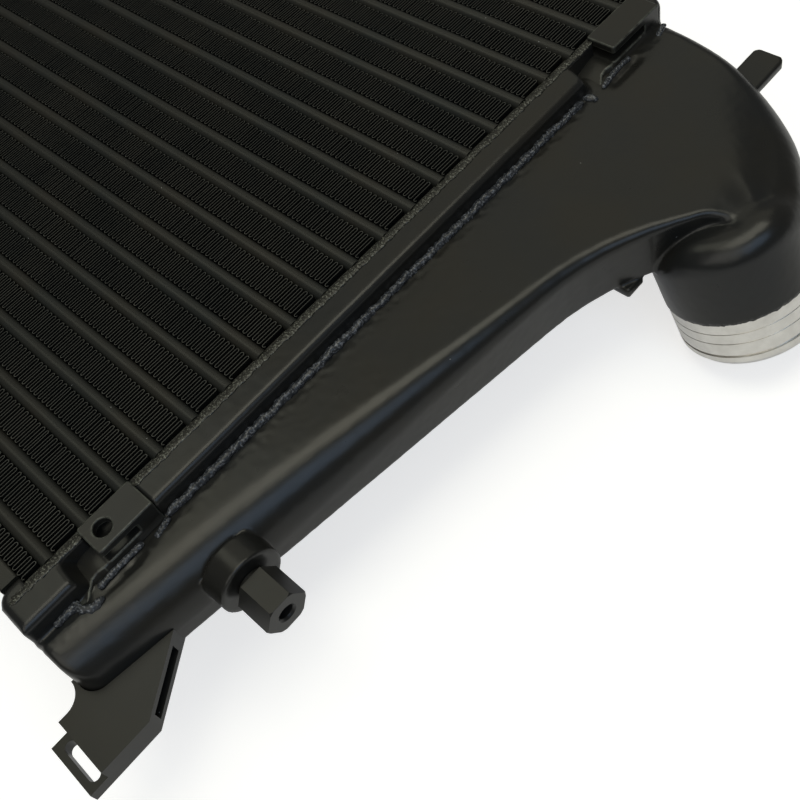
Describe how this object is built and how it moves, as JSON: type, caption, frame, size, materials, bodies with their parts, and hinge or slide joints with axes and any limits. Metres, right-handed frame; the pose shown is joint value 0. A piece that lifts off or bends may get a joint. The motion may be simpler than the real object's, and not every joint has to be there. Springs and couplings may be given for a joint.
{
  "type": "air-to-air intercooler",
  "caption": "Front-mount air-to-air intercooler: flat tube and fin core between cast end tanks with angled hose outlets, front clip lugs, side standoffs and slotted feet.",
  "frame": {"origin": "midway between the two front lug holes, on the lugs' top faces, as the core lies flat with its front face up", "axes": "+X along the tubes, towards the right-hand end tank; +Y along the end tanks, from the narrow ends towards the outlets; +Z out of the core's front face"},
  "size_m": [0.9258, 0.4398, 0.097],
  "materials": {
    "black_paint_core": "satin black paint on aluminium",
    "black_paint_fins": "thin satin black paint on aluminium sheet",
    "black_paint_cast": "satin black paint on a sand-cast grain",
    "bare_sheet": "bare rolled sheet",
    "bare_machined": "bare turned metal with fine tool marks"
  },
  "bodies": {
    "root": {"air_fin_01": "black_paint_fins", "air_fin_02": "black_paint_fins", "air_fin_03": "black_paint_fins", "air_fin_04": "black_paint_fins", "air_fin_05": "black_paint_fins", "air_fin_06": "black_paint_fins", "air_fin_07": "black_paint_fins", "air_fin_08": "black_paint_fins", "air_fin_09": "black_paint_fins", "air_fin_10": "black_paint_fins", "air_fin_11": "black_paint_fins", "air_fin_12": "black_paint_fins", "air_fin_13": "black_paint_fins", "air_fin_14": "black_paint_fins", "air_fin_15": "black_paint_fins", "air_fin_16": "black_paint_fins", "air_fin_17": "black_paint_fins", "air_fin_18": "black_paint_fins", "air_fin_19": "black_paint_fins", "air_fin_20": "black_paint_fins", "air_fin_21": "black_paint_fins", "charge_tube_01": "black_paint_core", "charge_tube_02": "black_paint_core", "charge_tube_03": "black_paint_core", "charge_tube_04": "black_paint_core", "charge_tube_05": "black_paint_core", "charge_tube_06": "black_paint_core", "charge_tube_07": "black_paint_core", "charge_tube_08": "black_paint_core", "charge_tube_09": "black_paint_core", "charge_tube_10": "black_paint_core", "charge_tube_11": "black_paint_core", "charge_tube_12": "black_paint_core", "charge_tube_13": "black_paint_core", "charge_tube_14": "black_paint_core", "charge_tube_15": "black_paint_core", "charge_tube_16": "black_paint_core", "charge_tube_17": "black_paint_core", "charge_tube_18": "black_paint_core", "charge_tube_19": "black_paint_core", "charge_tube_20": "black_paint_core", "closing_bars_left": "black_paint_core", "closing_bars_right": "black_paint_core", "end_tank_left": "black_paint_cast", "end_tank_right": "black_paint_cast", "front_lug_narrow_end_left": "black_paint_cast", "front_lug_narrow_end_right": "black_paint_cast", "front_lug_outlet_end_left": "black_paint_cast", "front_lug_outlet_end_right": "black_paint_cast", "outlet_spigot_left": "bare_machined", "outlet_spigot_right": "bare_machined", "side_plate_lower": "black_paint_core", "side_plate_upper": "black_paint_core", "slotted_foot_left": "black_paint_cast", "slotted_foot_right": "black_paint_cast", "standoff_left": "black_paint_cast", "standoff_right": "black_paint_cast", "turbulators": "bare_sheet"}
  },
  "joints": []
}
